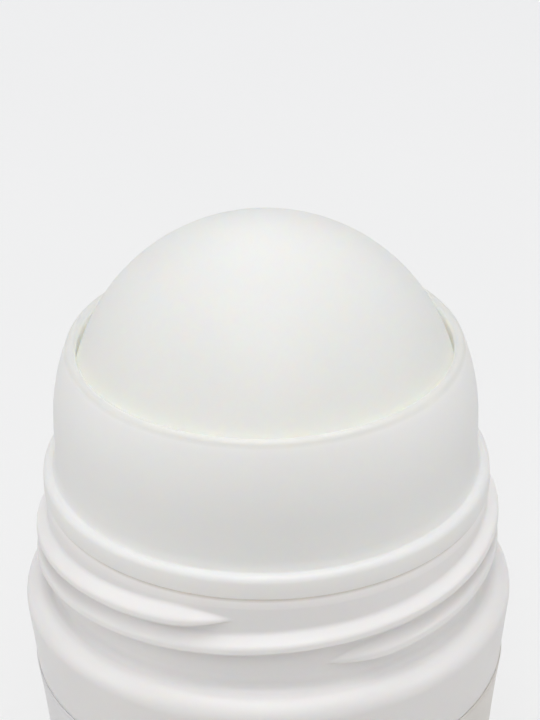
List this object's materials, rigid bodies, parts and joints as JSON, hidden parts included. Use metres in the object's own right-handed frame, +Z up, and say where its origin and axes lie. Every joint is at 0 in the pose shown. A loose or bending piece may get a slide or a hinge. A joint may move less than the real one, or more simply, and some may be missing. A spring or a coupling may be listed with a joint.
{
  "type": "roll on bottle",
  "caption": "Small round plastic bottle with a threaded neck, a plug-in housing that holds a freely rolling applicator ball, and a plain wrap label; shown without its cap.",
  "frame": {"origin": "centre of the standing ring under the base", "axes": "+Z up the bottle's axis to the ball, +X to the right and -Y to the front as the picture shows it"},
  "size_m": [0.0458, 0.0458, 0.088],
  "materials": {
    "bottle_plastic": "satin blow-moulded, faint mould seam",
    "housing_plastic": "smooth injection-moulded",
    "ball_plastic": "fine matt, ground round",
    "label_film": "satin film, plain"
  },
  "bodies": {
    "body": {"bottle": "bottle_plastic", "ball_housing": "housing_plastic", "wrap_label": "label_film"},
    "ball": {"roller_ball": "ball_plastic"}
  },
  "joints": [
    {"name": "ball_roll", "type": "hinge", "parent": "body", "child": "ball", "pos_m": [0, 0, 0.07025], "axis": [1, 0, 0], "continuous": true}
  ]
}
